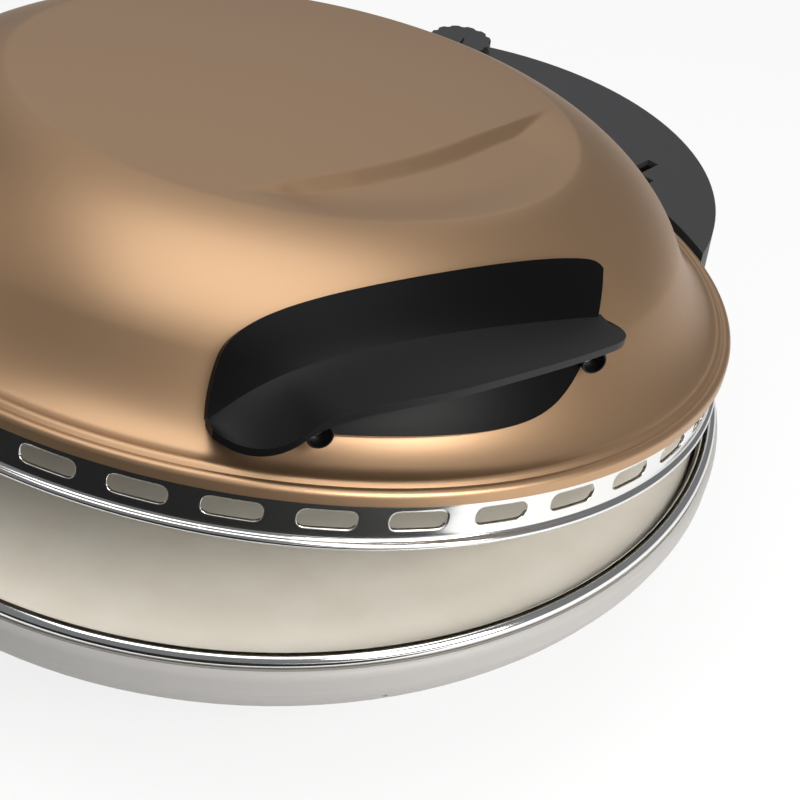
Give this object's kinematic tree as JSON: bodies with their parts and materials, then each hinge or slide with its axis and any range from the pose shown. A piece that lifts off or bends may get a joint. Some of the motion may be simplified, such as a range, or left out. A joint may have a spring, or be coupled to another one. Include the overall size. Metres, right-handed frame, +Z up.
{
  "type": "electric pizza maker",
  "caption": "Round countertop pizza cooker: a baking stone in a low bowl under a hinged domed lid with a slotted vent ring, side handle and rear control housing.",
  "frame": {"origin": "on the table, under the middle of the whole cooker's outline; the centre of the baking stone is 33.1 mm in front of it, at y = -0.0331", "axes": "+Z up, +Y from the stone towards the rear housing and the hinge, +X to the right seen from the front; the hinge axis is parallel to X"},
  "size_m": [0.3264, 0.3926, 0.1813],
  "materials": {
    "lid_paint": "satin copper-coloured paint",
    "bowl_paint": "light grey satin paint",
    "ring_steel": "polished with fine vertical streaks",
    "rim_steel": "bright rolled bead",
    "stone": "fired cordierite, matt",
    "tray_sheet": "bare aluminised sheet",
    "heater_steel": "dark oxidised sheath",
    "clip_steel": "bare",
    "ceramic": "unglazed",
    "rubber": "matt",
    "sleeve": "braided glass sleeve",
    "screw_steel": "zinc plated",
    "hinge_steel": "zinc plated",
    "washer_metal": "sintered bronze",
    "handle_plastic": "black phenolic, matt",
    "housing_plastic": "dark grey, matt",
    "knob_plastic": "black, matt",
    "block_plastic": "ivory",
    "lens_plastic": "translucent red",
    "bell_metal": "bare"
  },
  "bodies": {
    "base": {"base_bowl": "bowl_paint", "base_rim": "rim_steel", "rim_screws": "screw_steel", "baking_stone": "stone", "heat_tray": "tray_sheet", "lower_heater": "heater_steel", "lower_clips": "clip_steel", "lower_insulators": "ceramic", "thermal_fuse": "ceramic", "wire_grommet": "rubber", "base_wiring": "sleeve", "hinge_wiring": "sleeve", "front_feet": "rubber", "rear_feet": "rubber", "foot_screws": "screw_steel", "hinge_bracket": "hinge_steel", "hinge_pins": "hinge_steel", "hinge_screws": "screw_steel", "friction_washers": "washer_metal", "rear_housing": "housing_plastic", "housing_base": "housing_plastic", "housing_screws": "screw_steel", "terminal_block": "block_plastic", "cord_gland": "rubber", "thermostat": "ceramic", "timer": "block_plastic", "timer_bell": "bell_metal", "control_nuts": "screw_steel", "pilot_lens": "lens_plastic", "pilot_lamp_holder": "block_plastic"},
    "lid": {"lid_dome": "lid_paint", "vent_ring": "ring_steel", "lid_reflector": "tray_sheet", "lid_screws": "screw_steel", "upper_heater": "heater_steel", "upper_clips": "clip_steel", "upper_insulators": "ceramic", "lid_wiring": "sleeve", "lid_hinge_arms": "hinge_steel", "arm_rivets": "screw_steel", "handle": "handle_plastic", "handle_screws": "screw_steel", "handle_nuts": "screw_steel"},
    "thermostat_control": {"thermostat_shaft": "screw_steel", "thermostat_knob": "knob_plastic"},
    "timer_control": {"timer_shaft": "screw_steel", "timer_knob": "knob_plastic"}
  },
  "joints": [
    {"name": "lid_hinge", "type": "hinge", "parent": "base", "child": "lid", "pos_m": [0, 0.1429, 0.0864], "axis": [-1, 0, 0], "range_deg": [-7.6, 98]},
    {"name": "thermostat_turn", "type": "hinge", "parent": "base", "child": "thermostat_control", "pos_m": [-0.07356, 0.14896, 0.098], "axis": [0, 0, 1], "range_deg": [-270, 0]},
    {"name": "timer_turn", "type": "hinge", "parent": "base", "child": "timer_control", "pos_m": [-0.1206, 0.11063, 0.098], "axis": [0, 0, 1], "range_deg": [-300, 0]}
  ]
}
